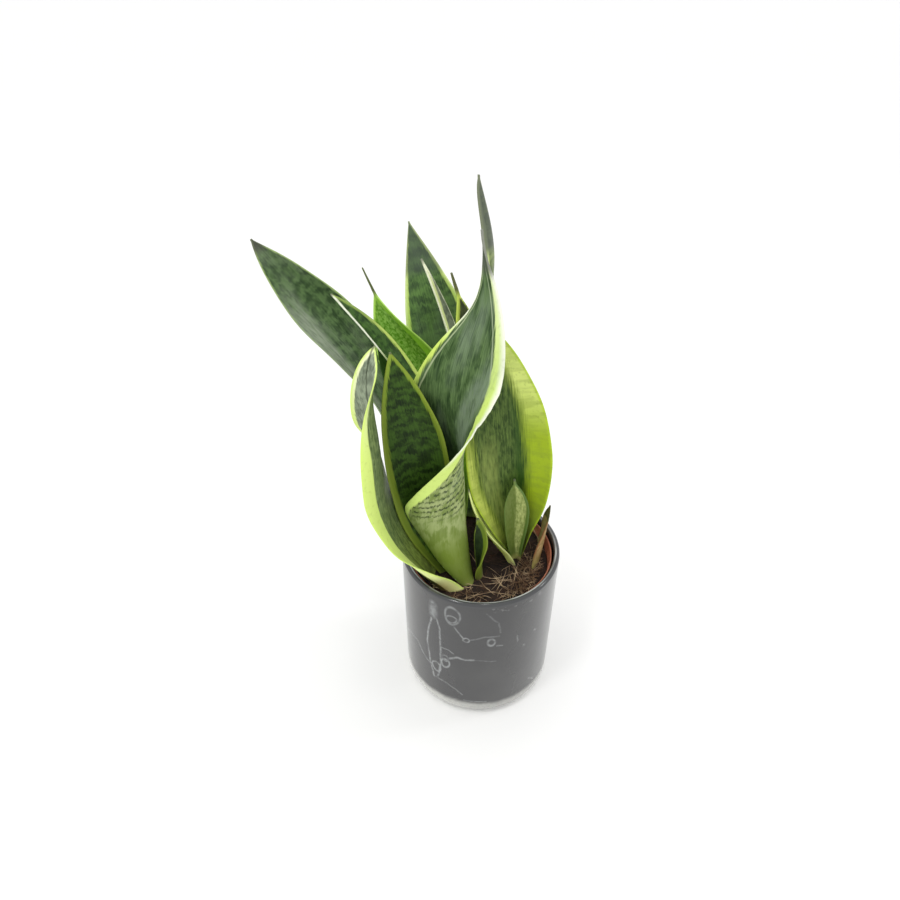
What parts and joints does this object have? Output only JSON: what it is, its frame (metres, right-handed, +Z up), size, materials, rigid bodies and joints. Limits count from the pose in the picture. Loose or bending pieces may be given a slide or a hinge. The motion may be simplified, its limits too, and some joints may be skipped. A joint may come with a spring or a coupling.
{
  "type": "potted snake plant",
  "caption": "Young variegated snake plant with upright, twisting, cross-banded leaves and yellow-green margins, in a growing pot inside a straight dark glazed cover pot with pale marbled veins.",
  "frame": {"origin": "middle of the cover pot's flat foot, on the surface that the pot stands on", "axes": "+Z up along the pot's axis; -Y towards the front, where the rolled leaf and the pale veins are; +X to the right as seen from the front"},
  "size_m": [0.2181, 0.1438, 0.4031],
  "materials": {
    "dark_glaze": "gloss",
    "terracotta_plastic": "satin",
    "potting_mix": "matte",
    "rhizome_skin": "matte",
    "leaf_green": "satin",
    "leaf_bright_green": "satin",
    "dry_leaf": "matte"
  },
  "bodies": {
    "root": {"cover_pot": "dark_glaze", "nursery_pot": "terracotta_plastic", "soil": "potting_mix", "rhizome": "rhizome_skin", "leaf_front_curl": "leaf_green", "leaf_front_inner": "leaf_green", "leaf_front_left": "leaf_green", "leaf_front_low": "leaf_green", "leaf_left_second": "leaf_green", "leaf_left_long": "leaf_green", "leaf_bright": "leaf_bright_green", "leaf_back_tall": "leaf_green", "leaf_back_narrow": "leaf_green", "leaf_back_small": "leaf_green", "leaf_back_edge": "leaf_green", "leaf_right_broad": "leaf_green", "leaf_right_low": "leaf_green", "pup": "leaf_green", "dry_sheath": "dry_leaf"}
  },
  "joints": []
}
